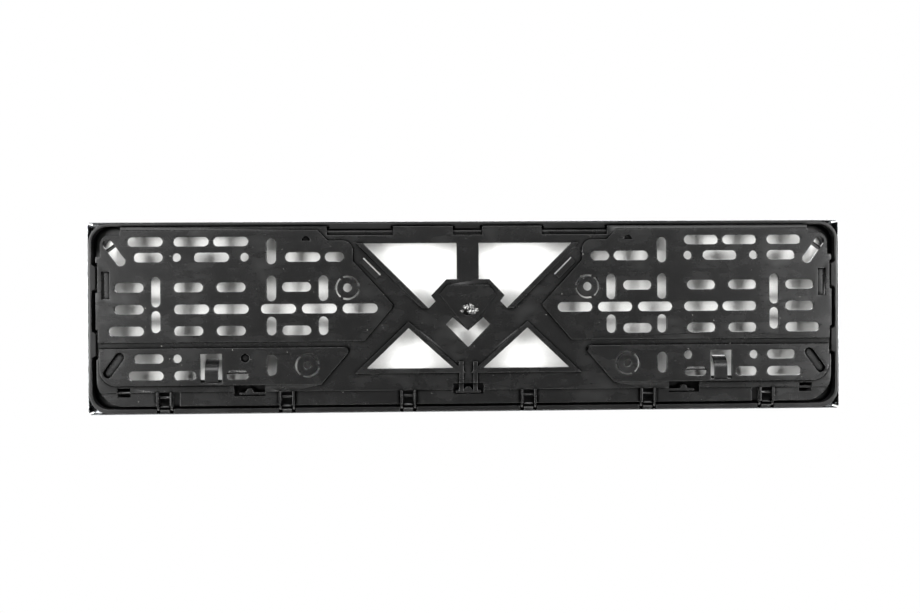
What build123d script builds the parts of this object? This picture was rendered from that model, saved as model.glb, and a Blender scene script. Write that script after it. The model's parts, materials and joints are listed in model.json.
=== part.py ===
from build123d import *
from math import radians, tan
import os

os.makedirs("parts", exist_ok=True)

# Number plate holder of the folding kind, in millimetres, +X right, +Z up.
# The mounting face against the car lies at Y = 0 and the plate side faces +Y.

# Closed holder, overall
OVERALL_WIDTH = 533.0
OVERALL_HEIGHT = 135.0
OVERALL_DEPTH = 13.5

# Steel trim: folded sheet over the front and the edges of the frame
SHEET = 0.5
TRIM_GAP = 0.2
TRIM_STEP = 1.0
FLANGE_SETBACK = 0.6
CORNER_SLIT = 1.5

# Front frame: rim wall, lip round the plate, tabs and tongues
WALL = 2.2
BOTTOM_WALL = 3.3
RIM_RADIUS = 14.0
RIM_SETBACK = 3.0
LIP = 2.0
WINDOW_SIDE_BORDER = 9.0
WINDOW_TOP_BORDER = 9.0
WINDOW_BOTTOM_BORDER = 23.5
WINDOW_RADIUS = 11.0
TAB_LENGTH = 18.7
TAB_REACH = 3.0
TAB_SLOPE = 2.0
TAB_HIGH_Z = 28.6
TAB_LOW_Z = -18.2
TONGUE_REACH = 2.4
TONGUE_DEPTH = 2.0
TONGUE_END_GAP = 1.5

# Hinge along the bottom edge: pins on the base, hooks on the frame
HINGE_COUNT = 6
HINGE_PITCH = 85.2
HINGE_DEPTH = 4.2
HINGE_ABOVE_WALL = 0.3
PIN_RADIUS = 1.1
PIN_FLATS = 12
PIN_CLEARANCE = 0.08
HOOK_WALL = 1.2
HOOK_FLATS = 12
HOOK_WIDTH = 6.8
HOOK_SIDE_GAP = 0.5
HOOK_MOUTH = 1.9
RAIL = 1.6
RAIL_END_WALL = 0.8
RAIL_END_FLATS = 6
RAIL_TOP = 10.0
RUNG = 1.6
RUNG_UP = 6.2
NOTCH_GAP = 0.4
SWING_CLEARANCE = 0.4

# Base panel: levels in front of the mounting face
WEB_DEPTH = 1.2
BAND_DEPTH = 2.0
PANEL_FRONT = 3.6
PANEL_WALL = 2.4
CORE_MARGIN = 1.5
SEAT_FRONT = 9.2
SEAT_RIB = 1.6

# Base panel: outline
SIDE_GAP = 3.8
TOP_GAP = 0.6
BASE_CORNER = 19.0
SHOULDER_IN = 3.1
SHOULDER_DOWN = 8.3
SHOULDER_RADIUS = 7.0
SHOULDER_FOOT = 20.9
TOP_BAR_IN = 16.9
TAB_NOTCH = 1.3
TAB_NOTCH_EXTRA = 1.0

# Base panel: raised fields, from the middle of the panel
ARROW_TOP_DOWN = 2.6
ARROW_STEP_DOWN = 10.0
ARROW_STEP_X = 98.5
ARROW_STEP_RUN = 7.0
ARROW_NECK_X = 80.9
ARROW_NECK_Z = 39.7
ARROW_NECK_RADIUS = 7.0
ARROW_TIP_X = 52.1
ARROW_TIP_Z = 8.0
ARROW_TIP_RADIUS = 2.0
ARROW_HEEL_X = 73.2
ARROW_BOTTOM = -16.8
FIELD_TOP = -21.0
FIELD_BOTTOM_UP = 14.4
FIELD_TOP_X = 81.0
FIELD_BOTTOM_X = 103.5
FIELD_END_IN = 2.0
FIELD_END_RADIUS = 12.0
FIELD_TIP_RADIUS = 2.5
BAND_UP = 9.7

# Base panel: openings of the X web
POST_HALF = 7.8
UPPER_OPEN_DOWN = 12.0
UPPER_OPEN_TIP_X = 27.7
UPPER_OPEN_TIP_Z = 5.9
DIAMOND_NOTCH_X = 23.0
DIAMOND_NOTCH_Z = 10.8
DIAMOND_SIDE_X = 26.0
DIAMOND_SIDE_Z = 14.9
DIAMOND_TOP_X = 15.2
DIAMOND_TOP_Z = 26.4
LOWER_OPEN_UP = 25.2
LOWER_OPEN_IN_X = 10.6
LOWER_OPEN_OUT_X = 71.7
LOWER_OPEN_TIP_X = 42.0
LOWER_OPEN_TIP_Z = -8.0
CHEVRON_OUT_X = 15.5
CHEVRON_OUT_Z = -5.6
CHEVRON_IN_X = 10.9
CHEVRON_IN_Z = -0.6
CHEVRON_TIP_OUT = -21.6
CHEVRON_TIP_IN = -10.0
WEB_RIDGE = 3.4
PAD_TOP_X = 14.4
PAD_TOP_Z = 22.4
PAD_SIDE_X = 20.2
PAD_SIDE_Z = 15.7
GATE_Z = 5.2
GATE_RADIUS = 4.5
GATE_DEPTH = 0.9
GATE_STUB = 2.2
GATE_FLATS = 12
ARM_SLIT_X = 67.6
ARM_SLIT_Z = 35.6
ARM_SLIT_LENGTH = 17.0
ARM_SLIT_WIDTH = 0.9
ARM_ANGLE = 45.0
ARM_PAD_WIDTH = 4.4
ARM_PAD_RISE = 0.6
MID_RIB_X = 5.0
MID_RIB_WIDTH = 3.2
MID_RIB_TOP = -31.7

# Base panel: slots for the screws
SLOT_WIDTH = 6.6
SLOT_LONG = 24.6
SLOT_MEDIUM = 20.4
SLOT_SHORT = 15.3
SLOT_STUB = 13.3
SLOT_END_FLATS = 8
UPRIGHT = 90.0
FULL_TURN = 360.0
ROW_TOP_DOWN = 10.4
ROW_HIGH_DOWN = 21.4
ROW_UPPER = 21.6
ROW_MIDDLE = 6.3
ROW_LOWER = -8.9
ROW_LOW = -28.2
ROW_BOTTOM_UP = 21.4
END_COLUMN_IN = 34.2
RIM_COLUMN_IN = 22.9
THIRD_COLUMN = 166.2
SLOT_BAR = 2.9
FOURTH_COLUMN = 120.5
MIDDLE_COLUMN = 104.6
MIDDLE_BAR = 4.0
HIGH_COLUMN = 179.6
HIGH_INNER_COLUMN = 116.0
HIGH_STUB_COLUMN = 93.9
ROUND_HOLE_OUT = 203.7
ROUND_HOLE_IN = 156.6
ROUND_HOLE_RADIUS = 3.0
DIMPLE_DEPTH = 1.4
UPRIGHT_OUT_X = 218.5
UPRIGHT_MID_X = 138.0
UPRIGHT_IN_X = 101.7
UPRIGHT_OUT_HIGH = 21.2
UPRIGHT_OUT_HIGH_Z = 18.5
UPRIGHT_OUT_LOW = 15.4
UPRIGHT_OUT_LOW_Z = -2.5
UPRIGHT_HIGH = 17.9
UPRIGHT_TOP_Z = 46.6
UPRIGHT_HIGH_Z = 20.6
UPRIGHT_LOW = 13.0
UPRIGHT_LOW_Z = -5.8
UPRIGHT_BOTTOM = 14.6
UPRIGHT_BOTTOM_Z = -33.3
SLANT_IN = 13.0
SLANT_HIGH_DOWN = 18.0
SLANT_LENGTH = 21.5
SLANT_ANGLE = 54.0
CROSS_RIB = 1.0
CROSS_RIB_LAP = 2.0
CROSS_RIB_OUT = 5.0
CROSS_RIB_UP = 1.3
SLANT_LOW_IN = 12.1
SLANT_LOW_UP = 29.0
SLANT_LOW_DEPTH = 2.0

# Base panel: knock-out rings round the screw holes
RING_RADIUS = 8.1
RING_SLIT = 1.2
RING_FLATS = 16
RING_BRIDGE = 2.2
RING_BRIDGES = 3
RING_BRIDGE_TURN = 180.0
RING_HIGH_X = 84.8
RING_HIGH_Z = 20.8
RING_HIGH_HOLE = 3.0
RING_LOW_X = 113.3
RING_LOW_Z = -33.7
RING_LOW_HOLE = 2.5
SCOOP_X = 113.7
SCOOP_DOWN = 10.0
SCOOP_RADIUS = 3.0

# Base panel: springs that press on the plate
SPRING_X = 180.3
SPRING_WINDOW_WIDTH = 15.2
SPRING_WINDOW_HEIGHT = 20.6
SPRING_WINDOW_UP = 15.9
SPRING_WIDTH = 9.4
SPRING_THICKNESS = 1.4
SPRING_FOOT = 7.2
SPRING_FOOT_DEPTH = 1.7
SPRING_TIP_DEPTH = 8.4
SPRING_TIP_DOWN = 4.6
LEAF_X = 153.8
LEAF_WINDOW_WIDTH = 21.6
LEAF_WINDOW_HEIGHT = 7.7
LEAF_WINDOW_UP = 10.6
LEAF = 1.5
LEAF_UP = 0.9
LEAF_FREE_GAP = 3.6
LEAF_ROOT = 2.0
LEAF_FRONT = 10.0
LEAF_NUB_WIDTH = 6.0
LEAF_NUB_HEIGHT = 2.8
LEAF_NUB_ANGLE = 60.0
END_LEAF_IN = 18.6
END_LEAF_WIDTH = 8.9
END_LEAF_HEIGHT = 6.3
END_LEAF_UP = 9.7

# Base panel: pockets for the tongues and small cuts at the edges
POCKET_X = 75.8
POCKET_WIDTH = 46.7
POCKET_MID_WIDTH = 21.0
POCKET_DOWN = 6.3
POCKET_OPEN_DOWN = 3.0
POCKET_DEPTH = 2.4
SIDE_RECESS_IN = 6.8
SIDE_RECESS_WIDTH = 5.6
SIDE_RECESS_LENGTH = 19.1
SIDE_RECESS_Z = 23.3
SIDE_SLIT_IN = 4.9
SIDE_SLIT_WIDTH = 1.8
BAND_SLOT_X = 204.8
BAND_SLOT_WIDTH = 4.4

# Sizes that follow from the ones above
frame_front = OVERALL_DEPTH - SHEET
lip_rear = frame_front - LIP
frame_width = OVERALL_WIDTH - 2 * (SHEET + TRIM_GAP)
frame_height = OVERALL_HEIGHT - 2 * (SHEET + TRIM_GAP)
inner_side = frame_width / 2 - WALL
inner_top = frame_height / 2 - WALL
inner_bottom = BOTTOM_WALL - frame_height / 2
window_width = OVERALL_WIDTH - 2 * WINDOW_SIDE_BORDER
window_height = OVERALL_HEIGHT - WINDOW_TOP_BORDER - WINDOW_BOTTOM_BORDER
window_mid = (WINDOW_BOTTOM_BORDER - WINDOW_TOP_BORDER) / 2
hinge_z = inner_bottom + HINGE_ABOVE_WALL
hook_radius = PIN_RADIUS + PIN_CLEARANCE + HOOK_WALL
rail_in = HOOK_WIDTH / 2 + HOOK_SIDE_GAP
rail_mid = rail_in + RAIL / 2
rail_end = PIN_RADIUS + RAIL_END_WALL
swing = ((HINGE_DEPTH - RIM_SETBACK) ** 2 + HINGE_ABOVE_WALL ** 2) ** 0.5
edge = inner_side - SIDE_GAP
top = inner_top - TOP_GAP
bottom = hinge_z + swing + SWING_CLEARANCE
row_top = top - ROW_TOP_DOWN
row_high = top - ROW_HIGH_DOWN
row_bottom = bottom + ROW_BOTTOM_UP
end_column = edge - END_COLUMN_IN
rim_column = edge - RIM_COLUMN_IN
medium_shift = (SLOT_LONG - SLOT_MEDIUM) / 2
middle_pitch = SLOT_LONG + MIDDLE_BAR
middle_slots = [MIDDLE_COLUMN - middle_pitch, MIDDLE_COLUMN, MIDDLE_COLUMN + middle_pitch]
second_column = THIRD_COLUMN + SLOT_LONG + SLOT_BAR
beside_spring = SPRING_WINDOW_WIDTH / 2 + SLOT_BAR + SLOT_SHORT / 2
upper_open = top - UPPER_OPEN_DOWN
upper_run = UPPER_OPEN_TIP_X + upper_open - UPPER_OPEN_TIP_Z
lower_open = bottom + LOWER_OPEN_UP
field_bottom = bottom + FIELD_BOTTOM_UP
band_top = bottom + BAND_UP
ridge_run = WEB_RIDGE * 2 ** 0.5
spring_low = bottom + SPRING_WINDOW_UP
spring_high = spring_low + SPRING_WINDOW_HEIGHT
leaf_mid = bottom + LEAF_WINDOW_UP
leaf_low = leaf_mid - LEAF_WINDOW_HEIGHT / 2 + LEAF_UP
pocket_floor = top - POCKET_DOWN
pocket_open = top - POCKET_OPEN_DOWN
seat_low = spring_low - SEAT_RIB / 2
stations = [HINGE_PITCH * (n - (HINGE_COUNT - 1) / 2) for n in range(HINGE_COUNT)]
rails = [x - rail_mid for x in stations] + [x + rail_mid for x in stations]
BEYOND = 2.0


def at_depth(depth):
    """Plane along the car body, that far in front of the mounting face, facing the car."""
    return Plane.XZ.offset(-depth)


def add_slots(length, *places):
    """Slots of one length in the sketch at hand, each place an X, a Z and perhaps an angle.

    There are so many slots that their round ends are kept light, with flats of equal width.
    """
    step = FULL_TURN / SLOT_END_FLATS
    middle = Vector((length - SLOT_WIDTH) / 2, 0)
    flat = Vector(SLOT_WIDTH / 2, SLOT_WIDTH / 2 * tan(radians(step / 2)))
    right_end = [middle + flat.rotate(Axis.Z, step * n - UPRIGHT) for n in range(SLOT_END_FLATS // 2)]
    left_end = [-corner for corner in right_end]
    with Locations(*[Location((x, z), sum(turn)) for x, z, *turn in places]):
        Polygon(*right_end, *left_end, align=None)


# Outline of the base panel, with the cut-away upper corners
with BuildSketch() as outline:
    with Locations((0, (bottom + top - SHOULDER_FOOT) / 2)):
        RectangleRounded(2 * edge, top - SHOULDER_FOOT - bottom, BASE_CORNER)
    with Locations((0, top - SHOULDER_FOOT)):
        Rectangle(2 * edge, BASE_CORNER + BEYOND, align=(Align.CENTER, Align.MAX))
    with Locations((0, top - SHOULDER_DOWN)):
        Rectangle(2 * (edge - SHOULDER_IN - SHOULDER_RADIUS), SHOULDER_FOOT,
                  align=(Align.CENTER, Align.MAX))
    with Locations((0, top - SHOULDER_DOWN - SHOULDER_RADIUS)):
        Rectangle(2 * (edge - SHOULDER_IN), SHOULDER_FOOT, align=(Align.CENTER, Align.MAX))
    with Locations((edge - SHOULDER_IN - SHOULDER_RADIUS, top - SHOULDER_DOWN - SHOULDER_RADIUS),
                   (SHOULDER_RADIUS + SHOULDER_IN - edge, top - SHOULDER_DOWN - SHOULDER_RADIUS)):
        Circle(SHOULDER_RADIUS)
    with Locations((0, top)):
        Rectangle(2 * (edge - TOP_BAR_IN), SHOULDER_FOOT, align=(Align.CENTER, Align.MAX))

# The two arrow-shaped fields and the two fields below them
with BuildSketch() as fields:
    with BuildLine():
        Polyline((edge, ARROW_BOTTOM),
                 (ARROW_HEEL_X, ARROW_BOTTOM),
                 (ARROW_TIP_X, ARROW_TIP_Z),
                 (ARROW_NECK_X, ARROW_NECK_Z),
                 (ARROW_NECK_X, top - ARROW_STEP_DOWN),
                 (ARROW_STEP_X, top - ARROW_STEP_DOWN),
                 (ARROW_STEP_X + ARROW_STEP_RUN, top - ARROW_TOP_DOWN),
                 (edge, top - ARROW_TOP_DOWN),
                 close=True)
    make_face()
    arrow_corners = fields.vertices().sort_by(Axis.X)
    fillet(arrow_corners[0], ARROW_TIP_RADIUS)
    fillet(fields.vertices().sort_by_distance((ARROW_NECK_X, top - ARROW_STEP_DOWN))[0],
           ARROW_NECK_RADIUS)
    add(outline.sketch, mode=Mode.INTERSECT)

with BuildSketch() as low_fields:
    with BuildLine():
        Polyline((edge - FIELD_END_IN, FIELD_TOP),
                 (FIELD_TOP_X, FIELD_TOP),
                 (FIELD_BOTTOM_X, field_bottom),
                 (edge - FIELD_END_IN, field_bottom),
                 close=True)
    make_face()
    fillet(low_fields.vertices().sort_by_distance((FIELD_TOP_X, FIELD_TOP))[0], FIELD_TIP_RADIUS)
    fillet(low_fields.vertices().sort_by_distance((edge - FIELD_END_IN, field_bottom))[0],
           FIELD_END_RADIUS)
    add(outline.sketch, mode=Mode.INTERSECT)

# Triangular openings of the web, and the chevron under the middle pad
with BuildSketch() as low_opening:
    with BuildLine():
        Polyline((LOWER_OPEN_IN_X, lower_open),
                 (LOWER_OPEN_OUT_X, lower_open),
                 (LOWER_OPEN_TIP_X, LOWER_OPEN_TIP_Z),
                 close=True)
    make_face()

with BuildSketch() as openings:
    with BuildLine():
        Polyline((POST_HALF, upper_open),
                 (upper_run, upper_open),
                 (UPPER_OPEN_TIP_X, UPPER_OPEN_TIP_Z),
                 (DIAMOND_NOTCH_X, DIAMOND_NOTCH_Z),
                 (DIAMOND_SIDE_X, DIAMOND_SIDE_Z),
                 (DIAMOND_TOP_X, DIAMOND_TOP_Z),
                 (POST_HALF, DIAMOND_TOP_Z),
                 close=True)
    make_face()
    add(low_opening.sketch)
    mirror(about=Plane.YZ)
    with BuildLine():
        Polyline((CHEVRON_OUT_X, CHEVRON_OUT_Z),
                 (0, CHEVRON_TIP_OUT),
                 (-CHEVRON_OUT_X, CHEVRON_OUT_Z),
                 (-CHEVRON_IN_X, CHEVRON_IN_Z),
                 (0, CHEVRON_TIP_IN),
                 (CHEVRON_IN_X, CHEVRON_IN_Z),
                 close=True)
    make_face()

# Ridges along the openings, the middle pad and the two ribs below it
with BuildSketch() as ridges:
    add(low_opening.sketch)
    offset(amount=WEB_RIDGE, kind=Kind.INTERSECTION, mode=Mode.REPLACE)
    with BuildLine():
        Polyline((upper_run, upper_open),
                 (upper_run + ridge_run, upper_open),
                 (UPPER_OPEN_TIP_X + ridge_run, UPPER_OPEN_TIP_Z),
                 (UPPER_OPEN_TIP_X, UPPER_OPEN_TIP_Z),
                 close=True)
    make_face()
    with Locations((MID_RIB_X, MID_RIB_TOP)):
        Rectangle(MID_RIB_WIDTH, MID_RIB_TOP - leaf_mid, align=(Align.CENTER, Align.MAX))
    mirror(about=Plane.YZ)
    with BuildLine():
        Polyline((PAD_TOP_X, PAD_TOP_Z),
                 (PAD_SIDE_X, PAD_SIDE_Z),
                 (0, CHEVRON_TIP_IN),
                 (-PAD_SIDE_X, PAD_SIDE_Z),
                 (-PAD_TOP_X, PAD_TOP_Z),
                 close=True)
    make_face()

# Slits round the knock-out plugs, with the thin bridges that hold the plugs
with BuildSketch() as ring_slits:
    with Locations((RING_HIGH_X, RING_HIGH_Z), (RING_LOW_X, RING_LOW_Z)):
        RegularPolygon(RING_RADIUS + RING_SLIT / 2, RING_FLATS)
        RegularPolygon(RING_RADIUS - RING_SLIT / 2, RING_FLATS, mode=Mode.SUBTRACT)
        with PolarLocations(RING_RADIUS, RING_BRIDGES, start_angle=RING_BRIDGE_TURN):
            Rectangle(2 * RING_SLIT, RING_BRIDGE, mode=Mode.SUBTRACT)

# Every slot, round hole and slit that goes right through, right half then mirrored
with BuildSketch() as slots:
    with Locations((THIRD_COLUMN, ROW_MIDDLE), (middle_slots[0], ROW_MIDDLE)):
        SlotOverall(SLOT_LONG, SLOT_WIDTH)
    add_slots(SLOT_LONG, (end_column, row_top), (second_column, row_top), (THIRD_COLUMN, row_top),
              (HIGH_COLUMN, row_high), (HIGH_INNER_COLUMN, row_high), (second_column, ROW_MIDDLE),
              (middle_slots[1], ROW_MIDDLE), (middle_slots[2], ROW_MIDDLE),
              (rim_column + medium_shift, ROW_LOWER), (end_column, row_bottom))
    add_slots(SLOT_MEDIUM, (end_column - medium_shift, row_high), (rim_column, ROW_UPPER),
              (second_column + medium_shift, ROW_UPPER), (THIRD_COLUMN, ROW_UPPER),
              (FOURTH_COLUMN, ROW_UPPER), (rim_column, ROW_MIDDLE),
              (second_column + medium_shift, ROW_LOWER), (THIRD_COLUMN, ROW_LOWER),
              (FOURTH_COLUMN, ROW_LOWER), (end_column - medium_shift, ROW_LOW))
    add_slots(SLOT_SHORT, (SPRING_X + beside_spring, row_bottom), (SPRING_X - beside_spring, row_bottom))
    add_slots(SLOT_STUB, (HIGH_STUB_COLUMN, row_high))
    add_slots(UPRIGHT_OUT_HIGH, (UPRIGHT_OUT_X, UPRIGHT_OUT_HIGH_Z, UPRIGHT))
    add_slots(UPRIGHT_OUT_LOW, (UPRIGHT_OUT_X, UPRIGHT_OUT_LOW_Z, UPRIGHT))
    add_slots(UPRIGHT_HIGH, (UPRIGHT_MID_X, UPRIGHT_TOP_Z, UPRIGHT),
              (UPRIGHT_MID_X, UPRIGHT_HIGH_Z, UPRIGHT), (UPRIGHT_IN_X, UPRIGHT_HIGH_Z, UPRIGHT))
    add_slots(UPRIGHT_LOW, (UPRIGHT_MID_X, UPRIGHT_LOW_Z, UPRIGHT), (UPRIGHT_IN_X, UPRIGHT_LOW_Z, UPRIGHT))
    add_slots(UPRIGHT_BOTTOM, (UPRIGHT_MID_X, UPRIGHT_BOTTOM_Z, UPRIGHT))
    add_slots(SLANT_LENGTH, (edge - SLANT_IN, top - SLANT_HIGH_DOWN, SLANT_ANGLE))
    with Locations((ROUND_HOLE_OUT, row_high), (ROUND_HOLE_IN, row_high), (ROUND_HOLE_OUT, ROW_LOW)):
        Circle(ROUND_HOLE_RADIUS)
    with Locations((RING_HIGH_X, RING_HIGH_Z)):
        Circle(RING_HIGH_HOLE)
    with Locations((RING_LOW_X, RING_LOW_Z)):
        Circle(RING_LOW_HOLE)
    add(ring_slits.sketch)
    with Locations((ARM_SLIT_X, ARM_SLIT_Z)):
        Rectangle(ARM_SLIT_LENGTH, ARM_SLIT_WIDTH, rotation=ARM_ANGLE)
    with Locations((edge - SIDE_SLIT_IN, SIDE_RECESS_Z)):
        Rectangle(SIDE_SLIT_WIDTH, SIDE_RECESS_LENGTH)
    with Locations((BAND_SLOT_X, bottom)):
        Rectangle(BAND_SLOT_WIDTH, BAND_UP, align=(Align.CENTER, Align.MIN))
    with Locations((edge, TAB_HIGH_Z), (edge, TAB_LOW_Z)):
        Rectangle(2 * TAB_NOTCH, TAB_LENGTH + 2 * TAB_NOTCH_EXTRA)
    with Locations((POCKET_X, pocket_open)):
        Rectangle(POCKET_WIDTH, POCKET_OPEN_DOWN + BEYOND, align=(Align.CENTER, Align.MIN))
    mirror(about=Plane.YZ)
    with Locations((ROUND_HOLE_IN, ROW_LOW)):
        Circle(ROUND_HOLE_RADIUS)
    with Locations((0, pocket_open)):
        Rectangle(POCKET_MID_WIDTH, POCKET_OPEN_DOWN + BEYOND, align=(Align.CENTER, Align.MIN))

# Windows of the springs and gaps between the hinge rails
with BuildSketch() as windows:
    with Locations((-SPRING_X, spring_low), (SPRING_X, spring_low)):
        Rectangle(SPRING_WINDOW_WIDTH, SPRING_WINDOW_HEIGHT, align=(Align.CENTER, Align.MIN))
    with Locations((-LEAF_X, leaf_mid), (0, leaf_mid), (LEAF_X, leaf_mid)):
        Rectangle(LEAF_WINDOW_WIDTH, LEAF_WINDOW_HEIGHT)
    with Locations((END_LEAF_IN - edge, bottom + END_LEAF_UP), (edge - END_LEAF_IN, bottom + END_LEAF_UP)):
        Rectangle(END_LEAF_WIDTH, END_LEAF_HEIGHT)
    with Locations(*[(station, band_top) for station in stations]):
        Rectangle(2 * rail_in, BAND_UP + BEYOND, align=(Align.CENTER, Align.MAX))
    with Locations(*[(station, bottom + RUNG_UP) for station in stations]):
        Rectangle(2 * rail_in, RUNG, mode=Mode.SUBTRACT)

# Base panel, screwed to the car
with BuildPart() as base_panel:
    with BuildSketch(at_depth(PANEL_FRONT)):
        add(outline.sketch)
    extrude(amount=PANEL_FRONT - WEB_DEPTH)
    # Raised fields, with the same wall as the web behind them
    with BuildSketch(at_depth(WEB_DEPTH)):
        add(fields.sketch)
        add(low_fields.sketch)
        mirror(about=Plane.YZ)
        add(ridges.sketch)
    extrude(amount=WEB_DEPTH)
    with BuildSketch(at_depth(PANEL_FRONT)):
        add(fields.sketch)
        add(low_fields.sketch)
        mirror(about=Plane.YZ)
        offset(amount=-CORE_MARGIN, kind=Kind.INTERSECTION, mode=Mode.REPLACE)
    extrude(amount=PANEL_FRONT - PANEL_WALL, mode=Mode.SUBTRACT)
    # Small pads on the arms of the web
    with BuildSketch(at_depth(WEB_DEPTH)):
        with Locations((ARM_SLIT_X, ARM_SLIT_Z)):
            Rectangle(ARM_SLIT_LENGTH, ARM_PAD_WIDTH, rotation=ARM_ANGLE,
                      align=(Align.CENTER, Align.MAX))
        mirror(about=Plane.YZ)
    extrude(amount=ARM_PAD_RISE)
    # Lower band along the hinge, pocket ledges and shallow marks
    with BuildSketch(at_depth(BAND_DEPTH)):
        with Locations((0, band_top)):
            Rectangle(2 * edge + BEYOND, BAND_UP + BEYOND, align=(Align.CENTER, Align.MAX))
    extrude(amount=BAND_DEPTH + BEYOND, mode=Mode.SUBTRACT)
    with BuildSketch(at_depth(POCKET_DEPTH)):
        with Locations((-POCKET_X, pocket_floor), (POCKET_X, pocket_floor)):
            Rectangle(POCKET_WIDTH, POCKET_DOWN, align=(Align.CENTER, Align.MIN))
        with Locations((0, pocket_floor)):
            Rectangle(POCKET_MID_WIDTH, POCKET_DOWN, align=(Align.CENTER, Align.MIN))
    extrude(amount=POCKET_DEPTH + BEYOND, mode=Mode.SUBTRACT)
    with BuildSketch(at_depth(WEB_DEPTH)):
        with Locations((edge - SIDE_RECESS_IN, SIDE_RECESS_Z), (SIDE_RECESS_IN - edge, SIDE_RECESS_Z)):
            Rectangle(SIDE_RECESS_WIDTH, SIDE_RECESS_LENGTH)
        with Locations((SCOOP_X, top - SCOOP_DOWN), (-SCOOP_X, top - SCOOP_DOWN)):
            RegularPolygon(SCOOP_RADIUS, GATE_FLATS)
            Rectangle(2 * SCOOP_RADIUS, SCOOP_RADIUS, align=(Align.CENTER, Align.MAX),
                      mode=Mode.SUBTRACT)
    extrude(amount=WEB_DEPTH + BEYOND, mode=Mode.SUBTRACT)
    with BuildSketch(at_depth(GATE_DEPTH)):
        with Locations((0, GATE_Z)):
            RegularPolygon(GATE_RADIUS, GATE_FLATS)
            RegularPolygon(GATE_STUB, GATE_FLATS, mode=Mode.SUBTRACT)
    extrude(amount=GATE_DEPTH + BEYOND, mode=Mode.SUBTRACT)
    with BuildSketch(at_depth(DIMPLE_DEPTH)):
        with Locations((-ROUND_HOLE_IN, ROW_LOW)):
            RegularPolygon(ROUND_HOLE_RADIUS, GATE_FLATS)
    extrude(amount=DIMPLE_DEPTH + BEYOND, mode=Mode.SUBTRACT)
    with BuildSketch(at_depth(SLANT_LOW_DEPTH)):
        add_slots(SLOT_MEDIUM, (edge - SLANT_LOW_IN, bottom + SLANT_LOW_UP, -SLANT_ANGLE))
        mirror(about=Plane.YZ)
    extrude(amount=SLANT_LOW_DEPTH + BEYOND, mode=Mode.SUBTRACT)
    # Ribs on the front that the plate lies against
    with BuildSketch(at_depth(SEAT_FRONT)):
        with Locations((0, pocket_open)):
            Rectangle(2 * (edge - TOP_BAR_IN), SEAT_RIB, align=(Align.CENTER, Align.MAX))
        with Locations((0, seat_low)):
            Rectangle(2 * (edge - BASE_CORNER), SEAT_RIB)
        with Locations((edge - SHOULDER_IN, seat_low), (SHOULDER_IN - edge, seat_low)):
            Rectangle(SEAT_RIB, top - SHOULDER_FOOT - seat_low, align=(Align.CENTER, Align.MIN))
    extrude(amount=SEAT_FRONT - BAND_DEPTH)
    # Curved springs behind the plate
    with BuildSketch(at_depth(SEAT_FRONT + BEYOND)):
        add(windows.sketch)
    extrude(amount=SEAT_FRONT + 2 * BEYOND, mode=Mode.SUBTRACT)
    with BuildSketch(Plane.YZ.offset(-SPRING_X), Plane.YZ.offset(SPRING_X)):
        with BuildLine():
            foot = Line((SPRING_FOOT_DEPTH, spring_low - SEAT_RIB),
                        (SPRING_FOOT_DEPTH, spring_low + SPRING_FOOT))
            TangentArc(foot @ 1, (SPRING_TIP_DEPTH, spring_high - SPRING_TIP_DOWN),
                       tangent=foot % 1)
        trace(line_width=SPRING_THICKNESS)
    extrude(amount=SPRING_WIDTH / 2, both=True)
    # Leaf springs under the lower edge of the plate
    with BuildSketch(at_depth(LEAF_FRONT)):
        with Locations((LEAF_X - LEAF_WINDOW_WIDTH / 2 - LEAF_ROOT, leaf_low)):
            Rectangle(LEAF_WINDOW_WIDTH + LEAF_ROOT - LEAF_FREE_GAP, LEAF,
                      align=(Align.MIN, Align.MIN))
        with Locations((LEAF_X, leaf_low + LEAF)):
            Trapezoid(LEAF_NUB_WIDTH, LEAF_NUB_HEIGHT, LEAF_NUB_ANGLE,
                      align=(Align.CENTER, Align.MIN))
        with Locations((edge - END_LEAF_IN, bottom + END_LEAF_UP)):
            Rectangle(END_LEAF_WIDTH + LEAF_ROOT, LEAF)
        mirror(about=Plane.YZ)
        with Locations((0, leaf_low)):
            Rectangle(LEAF_WINDOW_WIDTH - LEAF_FREE_GAP, LEAF, align=(Align.CENTER, Align.MIN))
        with Locations((0, leaf_low + LEAF)):
            Trapezoid(LEAF_NUB_WIDTH, LEAF_NUB_HEIGHT, LEAF_NUB_ANGLE,
                      align=(Align.CENTER, Align.MIN))
    extrude(amount=LEAF_FRONT - BAND_DEPTH)
    with BuildSketch(at_depth(PANEL_FRONT)):
        with Locations((-MID_RIB_X, leaf_low), (MID_RIB_X, leaf_low)):
            Rectangle(MID_RIB_WIDTH, LEAF_WINDOW_HEIGHT, align=(Align.CENTER, Align.MIN))
    extrude(amount=PANEL_FRONT - BAND_DEPTH)
    # Hinge rails and pins
    with BuildSketch(*[Plane.YZ.offset(x) for x in rails]):
        with Locations((HINGE_DEPTH, hinge_z)):
            RegularPolygon(rail_end, RAIL_END_FLATS)
            Rectangle(2 * rail_end, bottom + RAIL_TOP - hinge_z, align=(Align.CENTER, Align.MIN))
        with Locations((0, bottom)):
            Rectangle(HINGE_DEPTH, RAIL_TOP, align=(Align.MIN, Align.MIN))
    extrude(amount=RAIL / 2, both=True)
    with BuildSketch(*[Plane.YZ.offset(x) for x in stations]):
        with Locations((HINGE_DEPTH, hinge_z)):
            RegularPolygon(PIN_RADIUS, PIN_FLATS)
    extrude(amount=rail_mid, both=True)
    # Openings of the web and slots
    with BuildSketch(at_depth(SEAT_FRONT + BEYOND)):
        add(openings.sketch)
        add(slots.sketch)
    extrude(amount=SEAT_FRONT + 2 * BEYOND, mode=Mode.SUBTRACT)
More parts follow.
